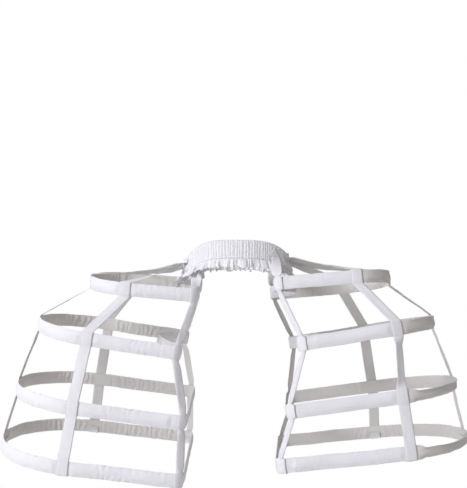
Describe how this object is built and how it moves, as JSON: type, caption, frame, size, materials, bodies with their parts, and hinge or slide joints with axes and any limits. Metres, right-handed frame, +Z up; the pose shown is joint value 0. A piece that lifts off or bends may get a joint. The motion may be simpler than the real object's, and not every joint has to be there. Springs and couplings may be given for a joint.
{
  "type": "pannier crinoline cage",
  "caption": "Pannier crinoline cage: boned cloth hoops hung on tapes as two side-hip cages from one shirred elastic waistband.",
  "frame": {"origin": "centre of the waist opening, about level with the band's top edge at the hips", "axes": "+X across the body to the right as seen from the front, front faces -Y, +Z up"},
  "size_m": [1.0295, 0.3579, 0.5089],
  "materials": {
    "casing_cloth": "plain-woven white cotton, matt",
    "tape": "white herringbone tape, matt",
    "band_cloth": "white gathered cotton, matt",
    "elastic": "white knitted elastic",
    "bone_steel": "flat spring steel",
    "joiner_steel": "crimped plated steel sleeve"
  },
  "bodies": {
    "root": {"waist_elastic": "elastic", "waist_casing": "band_cloth", "waist_frill": "band_cloth", "left_top_hoop_casing": "casing_cloth", "left_second_hoop_casing": "casing_cloth", "left_third_hoop_casing": "casing_cloth", "left_bottom_hoop_casing": "casing_cloth", "right_top_hoop_casing": "casing_cloth", "right_second_hoop_casing": "casing_cloth", "right_third_hoop_casing": "casing_cloth", "right_bottom_hoop_casing": "casing_cloth", "left_top_hoop_bone": "bone_steel", "left_second_hoop_bone": "bone_steel", "left_third_hoop_bone": "bone_steel", "left_bottom_hoop_bone": "bone_steel", "right_top_hoop_bone": "bone_steel", "right_second_hoop_bone": "bone_steel", "right_third_hoop_bone": "bone_steel", "right_bottom_hoop_bone": "bone_steel", "left_bone_joiners": "joiner_steel", "right_bone_joiners": "joiner_steel", "left_inner_front_tape": "tape", "left_outer_front_tape": "tape", "left_side_tape": "tape", "left_outer_back_tape": "tape", "left_inner_back_tape": "tape", "right_inner_front_tape": "tape", "right_outer_front_tape": "tape", "right_side_tape": "tape", "right_outer_back_tape": "tape", "right_inner_back_tape": "tape"}
  },
  "joints": []
}
